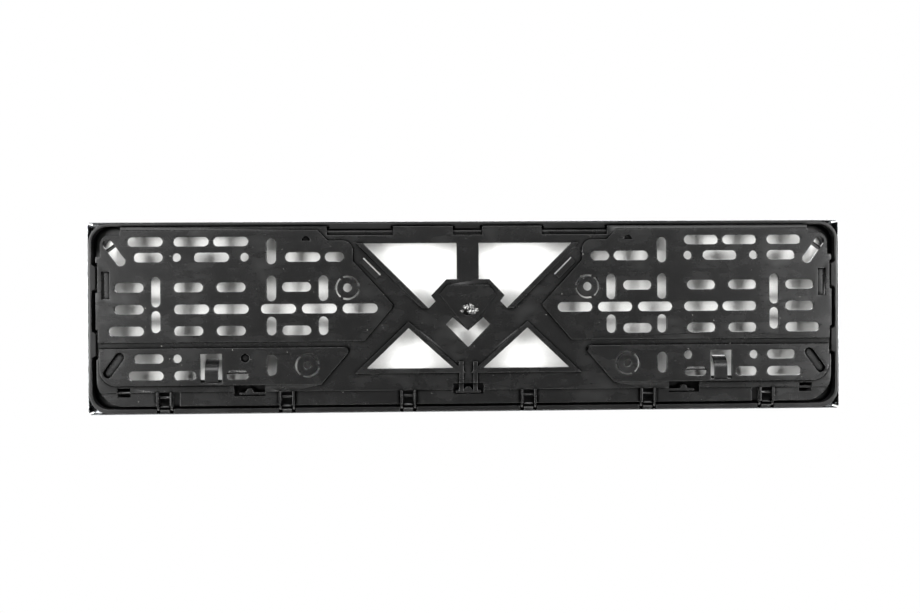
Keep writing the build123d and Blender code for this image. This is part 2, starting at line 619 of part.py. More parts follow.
    # Thin ribs that cross behind the slanted and the inner bottom slots
    with BuildSketch(at_depth(SEAT_FRONT)):
        with Locations(Location((edge - SLANT_IN, top - SLANT_HIGH_DOWN), SLANT_ANGLE)):
            with Locations((CROSS_RIB_OUT, 0)):
                Rectangle(CROSS_RIB, SLOT_WIDTH + 2 * CROSS_RIB_LAP)
        with Locations((SPRING_X - beside_spring, row_bottom + CROSS_RIB_UP)):
            Rectangle(SLOT_SHORT + 2 * CROSS_RIB_LAP, CROSS_RIB)
        mirror(about=Plane.YZ)
    extrude(amount=SEAT_FRONT - BAND_DEPTH)

base_panel.part.label = "base_panel"
export_step(base_panel.part, "parts/base_panel.step")

# Front frame that folds down on the hinge
with BuildPart() as front_frame:
    with BuildSketch(at_depth(frame_front)):
        RectangleRounded(frame_width, frame_height, RIM_RADIUS)
        with Locations((0, window_mid)):
            RectangleRounded(window_width, window_height, WINDOW_RADIUS, mode=Mode.SUBTRACT)
    extrude(amount=LIP)
    with BuildSketch(at_depth(lip_rear)):
        RectangleRounded(frame_width, frame_height, RIM_RADIUS)
        with Locations((0, (inner_top + inner_bottom) / 2)):
            RectangleRounded(2 * inner_side, inner_top - inner_bottom, RIM_RADIUS - WALL,
                             mode=Mode.SUBTRACT)
    extrude(amount=lip_rear - RIM_SETBACK)
    # Side tabs and top tongues
    with BuildSketch(at_depth(lip_rear)):
        for tab_z in (TAB_HIGH_Z, TAB_LOW_Z):
            with BuildLine():
                Polyline((inner_side + WALL / 2, tab_z - TAB_LENGTH / 2),
                         (inner_side, tab_z - TAB_LENGTH / 2),
                         (inner_side - TAB_REACH, tab_z - TAB_LENGTH / 2 + TAB_SLOPE),
                         (inner_side - TAB_REACH, tab_z + TAB_LENGTH / 2 - TAB_SLOPE),
                         (inner_side, tab_z + TAB_LENGTH / 2),
                         (inner_side + WALL / 2, tab_z + TAB_LENGTH / 2),
                         close=True)
            make_face()
        mirror(about=Plane.YZ)
    extrude(amount=lip_rear - RIM_SETBACK)
    with BuildSketch(at_depth(RIM_SETBACK + TONGUE_DEPTH)):
        with Locations((-POCKET_X, inner_top), (POCKET_X, inner_top)):
            Rectangle(POCKET_WIDTH - 2 * TONGUE_END_GAP, 2 * TONGUE_REACH)
        with Locations((0, inner_top)):
            Rectangle(POCKET_MID_WIDTH - 2 * TONGUE_END_GAP, 2 * TONGUE_REACH)
        Rectangle(frame_width, frame_height - WALL, mode=Mode.INTERSECT)
    extrude(amount=TONGUE_DEPTH)
    # Hooks round the pins, and notches that clear the rails
    with BuildSketch(*[Plane.YZ.offset(x) for x in stations]):
        with Locations((HINGE_DEPTH, hinge_z)):
            RegularPolygon(hook_radius, HOOK_FLATS)
    extrude(amount=HOOK_WIDTH / 2, both=True)
    with BuildSketch(*[Plane.YZ.offset(x) for x in stations]):
        with Locations((HINGE_DEPTH, hinge_z)):
            Circle(PIN_RADIUS + PIN_CLEARANCE)
            Rectangle(hook_radius + BEYOND, HOOK_MOUTH, align=(Align.MAX, Align.CENTER))
    extrude(amount=rail_mid, both=True, mode=Mode.SUBTRACT)
    with BuildSketch(at_depth(HINGE_DEPTH + rail_end + NOTCH_GAP)):
        with Locations(*[(x, inner_bottom) for x in rails]):
            Rectangle(RAIL + 2 * NOTCH_GAP, 2 * BOTTOM_WALL + BEYOND)
    extrude(amount=HINGE_DEPTH + rail_end, mode=Mode.SUBTRACT)

front_frame.part.label = "front_frame"
export_step(front_frame.part, "parts/front_frame.step")

# Polished sheet on the frame, folded back on all four sides with open corners
with BuildPart() as steel_trim:
    with BuildSketch(at_depth(OVERALL_DEPTH)):
        Rectangle(OVERALL_WIDTH, OVERALL_HEIGHT)
        with Locations((0, window_mid)):
            RectangleRounded(window_width + 2 * TRIM_STEP, window_height + 2 * TRIM_STEP,
                             WINDOW_RADIUS + TRIM_STEP, mode=Mode.SUBTRACT)
    extrude(amount=SHEET)
    with BuildSketch(at_depth(frame_front)):
        with Locations((-(OVERALL_WIDTH - SHEET) / 2, 0), ((OVERALL_WIDTH - SHEET) / 2, 0)):
            Rectangle(SHEET, OVERALL_HEIGHT - 2 * CORNER_SLIT)
        with Locations((0, -(OVERALL_HEIGHT - SHEET) / 2), (0, (OVERALL_HEIGHT - SHEET) / 2)):
            Rectangle(OVERALL_WIDTH - 2 * CORNER_SLIT, SHEET)
    extrude(amount=frame_front - RIM_SETBACK - FLANGE_SETBACK)

steel_trim.part.label = "steel_trim"
export_step(steel_trim.part, "parts/steel_trim.step")
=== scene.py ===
import json
import logging
import math
from dataclasses import dataclass, field
from enum import Enum

import bmesh
import bpy
from mathutils import Matrix, Vector, noise

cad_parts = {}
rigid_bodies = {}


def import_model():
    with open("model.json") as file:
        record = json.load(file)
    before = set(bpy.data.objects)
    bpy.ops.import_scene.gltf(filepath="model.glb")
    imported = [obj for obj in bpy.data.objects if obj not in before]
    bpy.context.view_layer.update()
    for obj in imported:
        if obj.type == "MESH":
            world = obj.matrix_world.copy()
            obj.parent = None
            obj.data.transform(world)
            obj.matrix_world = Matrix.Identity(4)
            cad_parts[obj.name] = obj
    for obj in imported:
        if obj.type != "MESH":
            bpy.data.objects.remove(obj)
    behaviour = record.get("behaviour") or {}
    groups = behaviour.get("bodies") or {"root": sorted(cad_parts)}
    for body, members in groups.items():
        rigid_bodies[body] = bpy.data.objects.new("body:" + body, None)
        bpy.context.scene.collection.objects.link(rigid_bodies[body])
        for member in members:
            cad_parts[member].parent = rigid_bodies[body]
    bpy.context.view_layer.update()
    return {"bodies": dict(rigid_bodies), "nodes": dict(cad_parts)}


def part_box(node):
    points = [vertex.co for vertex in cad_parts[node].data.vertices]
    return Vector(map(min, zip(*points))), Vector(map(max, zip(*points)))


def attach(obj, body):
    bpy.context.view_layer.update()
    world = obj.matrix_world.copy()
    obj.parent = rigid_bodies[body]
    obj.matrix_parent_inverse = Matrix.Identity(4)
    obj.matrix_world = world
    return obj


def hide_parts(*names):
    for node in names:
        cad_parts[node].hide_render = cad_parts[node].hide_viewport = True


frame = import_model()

LOG = logging.getLogger("plate_holder")
MM = 0.001
WHITE = (1.0, 1.0, 1.0, 1.0)
READS = ("From Min", "From Max")
AO_SAMPLES = 8

Pair = tuple[float, float]
Place = tuple[float, float, float]


class Body(Enum):
    """The two bodies of the holder that the hinge joins."""

    BASE = "base"
    FRONT = "front"


class Slot(Enum):
    """The record's material slots, named as the CAD nodes are."""

    BASE = "base_panel"
    FRONT = "front_frame"
    TRIM = "steel_trim"


def linear(code: str) -> tuple[float, float, float, float]:
    """Turn an sRGB hex colour into linear RGBA.

    Args:
        code: Six hex digits, with or without a leading hash.

    Returns:
        Linear red, green and blue, and an alpha of 1.
    """
    digits = code.lstrip("#")
    parts = [int(digits[n:n + 2], 16) / 255 for n in (0, 2, 4)]
    light = [p / 12.92 if p <= 0.04045 else ((p + 0.055) / 1.055) ** 2.4 for p in parts]
    return light[0], light[1], light[2], 1.0


def per_metre(size_mm: float) -> float:
    """Scale of a texture whose features are this many millimetres apart."""
    return 1 / (size_mm * MM)


def add_node(tree: bpy.types.NodeTree, kind: str, links: dict | None = None,
             values: dict | None = None, **settings: object) -> bpy.types.Node:
    """Add a node with its settings, socket values and incoming links.

    Args:
        tree: Node tree of a material, a world or a geometry modifier.
        kind: Blender's identifier of the node type.
        links: Input socket, by name or index, to the output socket that feeds it.
        values: Input socket, by name or index, to its fixed value.
        **settings: Properties of the node itself.

    Returns:
        The new node.
    """
    node = tree.nodes.new(kind)
    for name, value in settings.items():
        setattr(node, name, value)
    for socket, value in (values or {}).items():
        node.inputs[socket].default_value = value
    for socket, source in (links or {}).items():
        tree.links.new(source, node.inputs[socket])
    return node


def new_material(name: str) -> tuple[bpy.types.Material, bpy.types.NodeTree, bpy.types.Node]:
    """Make an empty node material.

    Args:
        name: Name of the finish.

    Returns:
        The material, its tree and its output node.
    """
    material = bpy.data.materials.new(name)
    material.use_nodes = True
    tree = material.node_tree
    tree.nodes.clear()
    return material, tree, tree.nodes.new("ShaderNodeOutputMaterial")


@dataclass(frozen=True)
class MouldedPlastic:
    """Black injection-moulded ABS: satin, with haze from handling, fine scuffs and dust.

    The mould gives a smooth skin with a soft sheen. Wiping leaves pale streaks along the panel and
    the dust settles as fine specks. The narrow inner corners are painted near black as shade, with
    less specular there, from ambient occlusion. The moulded grain is finer than a pixel, so it is
    drawn
    0.9 mm coarse to soften the sheen.
    """

    name: str = "black_moulded_abs"
    skin: str = "#0e0e0e"
    haze: str = "#3d3d3d"
    dust: str = "#8c8c8a"
    # Painted shade: near-black colour laid into creases and narrow inner corners.
    crease_shade_colour: str = "#030303"
    roughness: float = 0.26
    hazy_roughness: float = 0.44
    specular: float = 0.5
    haze_size_mm: float = 26.0
    haze_range: Pair = (0.42, 0.8)
    haze_amount: float = 0.35
    streak_size_mm: float = 7.0
    streak_range: Pair = (0.36, 0.84)
    streak_squeeze: float = 0.3
    speck_pitch_mm: float = 6.0
    speck_edge: Pair = (0.055, 0.03)
    speck_pick: Pair = (0.62, 1.0)
    speck_most: float = 0.7
    grain_size_mm: float = 0.9
    grain_depth_mm: float = 0.03
    grain_strength: float = 0.25
    # Reach and range of the painted crease shade.
    crease_mm: float = 3.0
    crease_range: Pair = (0.72, 0.96)

    def smear(self, tree: bpy.types.NodeTree, place: bpy.types.NodeSocket) -> bpy.types.NodeSocket:
        """Clouds of haze, broken into streaks along the panel.

        Args:
            tree: Tree of the material.
            place: Socket of the object coordinates.

        Returns:
            Socket of the share of haze, from 0 to 1.
        """
        along = add_node(tree, "ShaderNodeMapping", {"Vector": place},
                         {"Scale": (self.streak_squeeze, 1.0, 1.0)}).outputs[0]
        clouds = add_node(tree, "ShaderNodeTexNoise", {"Vector": place},
                          {"Scale": per_metre(self.haze_size_mm), "Detail": 5.0,
                           "Roughness": 0.6}).outputs[0]
        streaks = add_node(tree, "ShaderNodeTexNoise", {"Vector": along},
                           {"Scale": per_metre(self.streak_size_mm), "Detail": 6.0,
                            "Roughness": 0.65}).outputs[0]
        cloud_mask = add_node(tree, "ShaderNodeMapRange", {"Value": clouds},
                              dict(zip(READS, self.haze_range))).outputs[0]
        streak_mask = add_node(tree, "ShaderNodeMapRange", {"Value": streaks},
                               dict(zip(READS, self.streak_range))).outputs[0]
        return add_node(tree, "ShaderNodeMath", {0: cloud_mask, 1: streak_mask},
                        operation="MULTIPLY").outputs[0]

    def specks(self, tree: bpy.types.NodeTree, place: bpy.types.NodeSocket) -> bpy.types.NodeSocket:
        """Fine specks of dust, each of its own brightness.

        Args:
            tree: Tree of the material.
            place: Socket of the object coordinates.

        Returns:
            Socket of the share of dust, from 0 to 1.
        """
        cells = add_node(tree, "ShaderNodeTexVoronoi", {"Vector": place},
                         {"Scale": per_metre(self.speck_pitch_mm), "Randomness": 1.0})
        speck = add_node(tree, "ShaderNodeMapRange", {"Value": cells.outputs["Distance"]},
                         dict(zip(READS, self.speck_edge))).outputs[0]
        bright = add_node(tree, "ShaderNodeSeparateColor",
                          {"Color": cells.outputs["Color"]}).outputs[0]
        chosen = add_node(tree, "ShaderNodeMapRange", {"Value": bright},
                          {**dict(zip(READS, self.speck_pick)),
                           "To Max": self.speck_most}).outputs[0]
        return add_node(tree, "ShaderNodeMath", {0: speck, 1: chosen},
                        operation="MULTIPLY").outputs[0]

    def material(self) -> bpy.types.Material:
        """Build the node material of this plastic."""
        material, tree, out = new_material(self.name)
        place = add_node(tree, "ShaderNodeTexCoord").outputs["Object"]
        smear = self.smear(tree, place)
        hazed = add_node(tree, "ShaderNodeMath", {0: smear}, {1: self.haze_amount},
                         operation="MULTIPLY").outputs[0]
        tone = add_node(tree, "ShaderNodeMix", {0: hazed},
                        {6: linear(self.skin), 7: linear(self.haze)}, data_type="RGBA").outputs[2]
        colour = add_node(tree, "ShaderNodeMix", {0: self.specks(tree, place), 6: tone},
                          {7: linear(self.dust)}, data_type="RGBA").outputs[2]
        rough = add_node(tree, "ShaderNodeMapRange", {"Value": smear},
                         {"To Min": self.roughness, "To Max": self.hazy_roughness}).outputs[0]
        grain = add_node(tree, "ShaderNodeTexNoise", {"Vector": place},
                         {"Scale": per_metre(self.grain_size_mm), "Detail": 2.0}).outputs[0]
        bump = add_node(tree, "ShaderNodeBump", {"Height": grain},
                        {"Strength": self.grain_strength,
                         "Distance": self.grain_depth_mm * MM}).outputs[0]
        # Painted shade: ambient occlusion darkens the colour towards near black in creases and
        # inner corners.
        open_sky = add_node(tree, "ShaderNodeAmbientOcclusion", None,
                            {"Distance": self.crease_mm * MM}, samples=AO_SAMPLES).outputs["AO"]
        unshaded_share = add_node(tree, "ShaderNodeMapRange", {"Value": open_sky},
                         dict(zip(READS, self.crease_range))).outputs[0]
        darkened_tone = add_node(tree, "ShaderNodeMix", {0: unshaded_share, 7: colour}, {6: linear(self.crease_shade_colour)},
                        data_type="RGBA").outputs[2]
        # Painted shade on the specular: the reflection is cut where the creases are shaded.
        sheen = add_node(tree, "ShaderNodeMath", {0: unshaded_share}, {1: self.specular},
                         operation="MULTIPLY").outputs[0]
        shader = add_node(tree, "ShaderNodeBsdfPrincipled",
                          {"Base Color": darkened_tone, "Roughness": rough, "Specular IOR Level": sheen,
                           "Normal": bump}, {"IOR": 1.5})
        tree.links.new(shader.outputs[0], out.inputs[0])
        return material


@dataclass(frozen=True)
class PolishedSheet:
    """Polished stainless sheet: bright, with faint rolling lines along its length."""

    name: str = "polished_stainless_sheet"
    metal: str = "#c9cbcd"
    darkened_tone: str = "#a9abad"
    roughness: float = 0.12
    dull_roughness: float = 0.26
    line_size_mm: float = 1.2
    line_squeeze: float = 0.02
    dull_range: Pair = (0.3, 0.75)

    def material(self) -> bpy.types.Material:
        """Build the node material of the sheet."""
        material, tree, out = new_material(self.name)
        place = add_node(tree, "ShaderNodeTexCoord").outputs["Object"]
        along = add_node(tree, "ShaderNodeMapping", {"Vector": place},
                         {"Scale": (self.line_squeeze, 1.0, 1.0)}).outputs[0]
        lines = add_node(tree, "ShaderNodeTexNoise", {"Vector": along},
                         {"Scale": per_metre(self.line_size_mm), "Detail": 4.0,
                          "Roughness": 0.7}).outputs[0]
        rough = add_node(tree, "ShaderNodeMapRange", {"Value": lines},
                         {**dict(zip(READS, self.dull_range)), "To Min": self.roughness,
                          "To Max": self.dull_roughness}).outputs[0]
        colour = add_node(tree, "ShaderNodeMix", {0: lines},
                          {6: linear(self.metal), 7: linear(self.darkened_tone)},
                          data_type="RGBA").outputs[2]
        shader = add_node(tree, "ShaderNodeBsdfPrincipled",
                          {"Base Color": colour, "Roughness": rough}, {"Metallic": 1.0})
        tree.links.new(shader.outputs[0], out.inputs[0])
        return material


@dataclass(frozen=True)
class TornPlastic:
    """The same ABS where the sprue was torn off: glossy shreds, whitened by the strain."""

    name: str = "torn_abs"
    skin: str = "#2c2c2c"
    strained: str = "#e6e6e3"
    roughness: float = 0.22
    shred_size_mm: float = 1.5
    shred_depth_mm: float = 0.5
    shred_strength: float = 0.8
    strain_range: Pair = (0.5, 0.68)

    def material(self) -> bpy.types.Material:
        """Build the node material of the torn stub."""
        material, tree, out = new_material(self.name)
        place = add_node(tree, "ShaderNodeTexCoord").outputs["Object"]
        shreds = add_node(tree, "ShaderNodeTexNoise", {"Vector": place},
                          {"Scale": per_metre(self.shred_size_mm), "Detail": 4.0,
                           "Roughness": 0.7}).outputs[0]
        mask = add_node(tree, "ShaderNodeMapRange", {"Value": shreds},
                        dict(zip(READS, self.strain_range))).outputs[0]
        colour = add_node(tree, "ShaderNodeMix", {0: mask},
                          {6: linear(self.skin), 7: linear(self.strained)},
                          data_type="RGBA").outputs[2]
        bump = add_node(tree, "ShaderNodeBump", {"Height": shreds},
                        {"Strength": self.shred_strength,
                         "Distance": self.shred_depth_mm * MM}).outputs[0]
        shader = add_node(tree, "ShaderNodeBsdfPrincipled", {"Base Color": colour, "Normal": bump},
                          {"Roughness": self.roughness, "IOR": 1.5})
        tree.links.new(shader.outputs[0], out.inputs[0])
        return material


@dataclass(frozen=True)
class DustFleck:
    """Pale lint and dust on the panel, matt and a fraction of a millimetre across."""

    name: str = "pale_dust"
    colour: str = "#b9b8b4"
    roughness: float = 0.9

    def material(self) -> bpy.types.Material:
        """Build the node material of the flecks."""
        material, tree, out = new_material(self.name)
        shader = add_node(tree, "ShaderNodeBsdfPrincipled", None,
                          {"Base Color": linear(self.colour), "Roughness": self.roughness})
        tree.links.new(shader.outputs[0], out.inputs[0])
        return material


@dataclass(frozen=True)
class PaperWhite:
    """Matt white studio paper, for the floor, the backdrop and the sheet behind the panel.

    Evened paper shows less of its shading, glowing paper gets painted light by emission that burns
    it out to white where nothing stands over it, and one-sided paper can't be seen from its back.
    """

    name: str
    colour: str = "#f2f2f0"
    one_sided: bool = False
    evened: float = 0.0
    painted_glow: float = 0.0
    open_mm: float = 30.0
    open_range: Pair = (0.45, 0.8)

    def material(self) -> bpy.types.Material:
        """Build the node material of the paper."""
        material, tree, out = new_material(self.name)
        paper = add_node(tree, "ShaderNodeBsdfDiffuse", None,
                         {"Color": linear(self.colour)}).outputs[0]
        if self.evened:
            seen = add_node(tree, "ShaderNodeLightPath").outputs["Is Camera Ray"]
            share = add_node(tree, "ShaderNodeMath", {0: seen}, {1: self.evened},
                             operation="MULTIPLY").outputs[0]
            even = add_node(tree, "ShaderNodeEmission", None,
                            {"Color": linear(self.colour)}).outputs[0]
            paper = add_node(tree, "ShaderNodeMixShader", {0: share, 1: paper, 2: even}).outputs[0]
        # Painted light: the paper glows by emission where ambient occlusion finds it open, up to
        # white.
        if self.painted_glow:
            open_sky = add_node(tree, "ShaderNodeAmbientOcclusion", None,
                                {"Distance": self.open_mm * MM}, samples=AO_SAMPLES).outputs["AO"]
            share = add_node(tree, "ShaderNodeMapRange", {"Value": open_sky},
                             {**dict(zip(READS, self.open_range)),
                              "To Max": self.painted_glow}).outputs[0]
            glow = add_node(tree, "ShaderNodeEmission", {"Strength": share}).outputs[0]
            paper = add_node(tree, "ShaderNodeAddShader", {0: paper, 1: glow}).outputs[0]
        if self.one_sided:
            side = add_node(tree, "ShaderNodeNewGeometry").outputs["Backfacing"]
            clear = add_node(tree, "ShaderNodeBsdfTransparent").outputs[0]
            paper = add_node(tree, "ShaderNodeMixShader", {0: side, 1: paper, 2: clear}).outputs[0]
        tree.links.new(paper, out.inputs[0])
        return material


def new_object(name: str, mesh: bpy.types.Mesh) -> bpy.types.Object:
    """Link a new object for a mesh to the scene.

    Args:
        name: Name of the piece.
        mesh: Its mesh, already in place.

    Returns:
        The object, at the origin.
    """
    made = bpy.data.objects.new(name, mesh)
    bpy.context.scene.collection.objects.link(made)
    return made


def bake_modifiers(made: bpy.types.Object) -> bpy.types.Object:
    """Turn an object's modifiers into plain mesh.

    Args:
        made: The object.

    Returns:
        The same object, with no modifier left.
    """
    graph = bpy.context.evaluated_depsgraph_get()
    mesh = bpy.data.meshes.new_from_object(made.evaluated_get(graph), preserve_all_data_layers=True,
                                           depsgraph=graph)
    made.modifiers.clear()
    made.data = mesh
    return made


class Piece:
    """A piece of the holder that takes one finish."""

    def dress(self, made: bpy.types.Object, finish: bpy.types.Material) -> None:
        """Give the piece its finish and report it.

        Args:
            made: The piece.
            finish: Its material.
        """
        made.data.materials.clear()
        made.data.materials.append(finish)
        LOG.info("%s: %d faces, %s", made.name, len(made.data.polygons), finish.name)


@dataclass
class RoundedNode(Piece):
    """A CAD node shown with the small edge radii that its mould or its press leaves."""

    node: str
    piece: str
    body: Body
    slot: Slot
    edge_mm: float
    edge_steps: int = 2
    sharp_deg: float = 28.0
    car_facing: float = -0.9
    far_weight: float = 0.5
    weld_mm: float = 0.0005
    join_deg: float = 0.5
    upright_mm: float = 0.001
    flat_deg: Pair = (20.0, 50.0)
    arc_mm: Pair = (0.25, 2.0)
    arc_steps: int = 4
    half_wall: float = 0.49
    reach_step_mm: float = 0.02

    def wall_width(self, edge: bmesh.types.BMEdge, wall: bmesh.types.BMFace) -> float:
        """Width of a wall that stands along Y, measured from one of its upright edges."""
        foot = edge.verts[0].co
        return max(math.hypot(v.co.x - foot.x, v.co.z - foot.z) for v in wall.verts)

    def round_ends(self, shape: bmesh.types.BMesh) -> None:
        """Turn the flats at the ends of slots and round corners into arcs.

        The CAD draws these ends with a few flats, tangent to the true arc. An arc between the
        middles of two flats is that true arc again.

        Args:
            shape: The welded mesh of the node.
        """
        bmesh.ops.join_triangles(shape, faces=shape.faces,
                                 angle_face_threshold=math.radians(self.join_deg),
                                 angle_shape_threshold=math.pi)
        low, high = (math.radians(angle) for angle in self.flat_deg)
        least, most = (reach * MM for reach in self.arc_mm)
        groups: dict[int, list[bmesh.types.BMEdge]] = {}
        for edge in shape.edges:
            one, two = edge.verts[0].co, edge.verts[1].co
            upright = math.hypot(one.x - two.x, one.z - two.z) < self.upright_mm * MM
            if not upright or len(edge.link_faces) != 2:
                continue
            if not low < edge.calc_face_angle(0.0) < high:
                continue
            reach = self.half_wall * min(self.wall_width(edge, wall) for wall in edge.link_faces)
            if least < reach < most:
                groups.setdefault(round(reach / (self.reach_step_mm * MM)), []).append(edge)
        for steps, edges in sorted(groups.items()):
            bmesh.ops.bevel(shape, geom=[e for e in edges if e.is_valid],
                            offset=steps * self.reach_step_mm * MM, offset_type="OFFSET",
                            segments=self.arc_steps, profile=0.5, affect="EDGES",
                            clamp_overlap=False)

    def mark_edges(self, shape: bmesh.types.BMesh) -> None:
        """Mark the outer edges for rounding, fully on the side that faces the car.

        Elsewhere they get less. Inner corners stay sharp, as the mould's own edges leave them.

        Args:
            shape: The welded mesh of the node.
        """
        shape.normal_update()
        weight = shape.edges.layers.float.new("bevel_weight_edge")
        for edge in shape.edges:
            if len(edge.link_faces) != 2:
                continue
            if edge.calc_face_angle(0.0) < math.radians(self.sharp_deg):
                continue
            if edge.is_convex:
                facing = min(face.normal.y for face in edge.link_faces)
                edge[weight] = 1.0 if facing < self.car_facing else self.far_weight
            else:
                edge.smooth = False

    def build(self) -> bpy.types.Object:
        """Copy the node, weld its triangles, round its edges and let it stand for the node.

        Returns:
            The finished piece.
        """
        mesh = frame["nodes"][self.node].data.copy()
        mesh.name = self.piece
        mesh.materials.clear()
        shape = bmesh.new()
        shape.from_mesh(mesh)
        bmesh.ops.remove_doubles(shape, verts=shape.verts, dist=self.weld_mm * MM)
        self.round_ends(shape)
        self.mark_edges(shape)
        shape.to_mesh(mesh)
        shape.free()
        made = new_object(self.piece, mesh)
        edge = made.modifiers.new("edge_radius", "BEVEL")
        edge.width = self.edge_mm * MM
        edge.segments = self.edge_steps
        edge.limit_method = "WEIGHT"
        edge.use_clamp_overlap = False
        flat = made.modifiers.new("flat_faces", "WEIGHTED_NORMAL")
        flat.keep_sharp = True
        for face in mesh.polygons:
            face.use_smooth = True
        bake_modifiers(made)
        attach(made, self.body.value)
        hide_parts(self.node)
        return made


@dataclass
class CornerLedges(Piece):
    """The panel's upper corners, carried on round the ends of the slanted slots."""

    front_mm: float = -0.02
    thick_mm: float = 1.5
    inner_mm: float = 242.4
    side_mm: float = 256.7
    top_mm: float = 58.6
    foot_mm: float = 47.0
    wall_mm: Pair = (0.7, 3.6)
    radius_mm: float = 7.0
    slot_end_mm: Pair = (251.18, 52.03)
    slot_radius_mm: float = 3.3
    slot_deg: float = 54.0
    arc_steps: int = 12
    edge_mm: float = 0.3
    edge_steps: int = 2

    def arc(self, middle: Pair, radius: float, start: float, end: float) -> list[Pair]:
        """Points along an arc in the plane of the panel.

        Args:
            middle: Its centre, across and up, in millimetres.
            radius: Its radius in millimetres.
            start: Angle of its first point in degrees.
            end: Angle of its last point in degrees.

        Returns:
            The points, in order.
        """
        turns = [math.radians(start + (end - start) * n / self.arc_steps)
                 for n in range(self.arc_steps + 1)]
        return [(middle[0] + radius * math.cos(a), middle[1] + radius * math.sin(a)) for a in turns]

    def outline(self) -> list[Pair]:
        """Outline of the right-hand ledge, open where the slot ends in it."""
        heel = (self.side_mm - self.radius_mm, self.top_mm - self.radius_mm)
        slot_end = self.arc(self.slot_end_mm, self.slot_radius_mm,
                            self.slot_deg - 90.0, self.slot_deg + 90.0)
        return [(self.inner_mm, self.top_mm), *self.arc(heel, self.radius_mm, 90.0, 0.0),
                (self.side_mm, self.foot_mm), (self.side_mm - self.wall_mm[0], self.foot_mm),
                *slot_end, (self.inner_mm, self.top_mm - self.wall_mm[1])]

    def build(self) -> bpy.types.Object:
        """Make the two ledges, left and right.

        Returns:
            The piece, riding on the base.
        """
        flat = self.outline()
        count = len(flat)
        points, faces = [], []
        for hand in (1, -1):
            first = len(points)
            second = first + count
            for depth in (self.front_mm, self.front_mm + self.thick_mm):
                points += [(hand * x * MM, depth * MM, z * MM) for x, z in flat]
            faces += [tuple(range(first, second)),
                      tuple(range(second + count - 1, second - 1, -1))]
            for n in range(count):
                after = (n + 1) % count
                faces.append((first + n, second + n, second + after, first + after))
        mesh = bpy.data.meshes.new("upper_corner_ledges")
        mesh.from_pydata(points, [], faces)
        shape = bmesh.new()
        shape.from_mesh(mesh)
        bmesh.ops.recalc_face_normals(shape, faces=shape.faces)
        shape.to_mesh(mesh)
        shape.free()
        made = new_object("upper_corner_ledges", mesh)
        edge = made.modifiers.new("edge_radius", "BEVEL")
        edge.width = self.edge_mm * MM
        edge.segments = self.edge_steps
        bake_modifiers(made)
        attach(made, Body.BASE.value)
        return made


@dataclass
class TornSprue(Piece):
    """The stub of the sprue on the middle pad, torn off in shreds.

    Each shred has its place across and up, its size, and a phase that gives it its own crumple.
    """

    seat_mm: float = 0.4
    crest_mm: float = -0.3
    crest_share: Pair = (0.4, 0.6)
    shreds: list[tuple[float, float, float, float]] = field(default_factory=lambda: [
        (-4.3, 3.9, 1.7, 0.0), (-1.2, 6.6, 2.5, 1.7), (2.4, 6.9, 2.7, 2.4),
        (5.2, 4.6, 2.5, 3.1), (1.6, 3.4, 2.5, 4.3), (4.0, 2.6, 1.9, 5.2)])
    fineness: int = 4
    plump: float = 0.75
    crumple: float = 0.75
    ripples: float = 1.9
    curls: float = 4.7
    curl_share: float = 0.5
    squash: Pair = (0.4, 0.8)

    def build(self) -> bpy.types.Object:
        """Make the crumpled shreds.

        Returns:
            The piece, riding on the base.
        """
        shape = bmesh.new()
        for x, z, size, phase in self.shreds:
            ball = bmesh.ops.create_icosphere(shape, subdivisions=self.fineness, radius=1.0)
            for vert in ball["verts"]:
                way = vert.co.normalized()
                ripple = noise.noise(way * self.ripples + Vector((phase, 0, phase))) * self.crumple
                curl = noise.noise(way * self.curls + Vector((0, phase, 0))) * self.crumple
                curl *= self.curl_share
                reach = size * (self.plump + ripple + curl)
                vert.co = Vector((x + way.x * reach, self.seat_mm + way.y * reach * self.squash[0],
                                  z + way.z * reach * self.squash[1])) * MM
                crest = self.crest_share[0] + self.crest_share[1] * abs(ripple + curl)
                vert.co.y = max(vert.co.y, self.crest_mm * MM * crest)
        mesh = bpy.data.meshes.new("torn_sprue")
        shape.to_mesh(mesh)
        shape.free()
        for face in mesh.polygons:
            face.use_smooth = True
        made = new_object("torn_sprue", mesh)
        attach(made, Body.BASE.value)
        return made


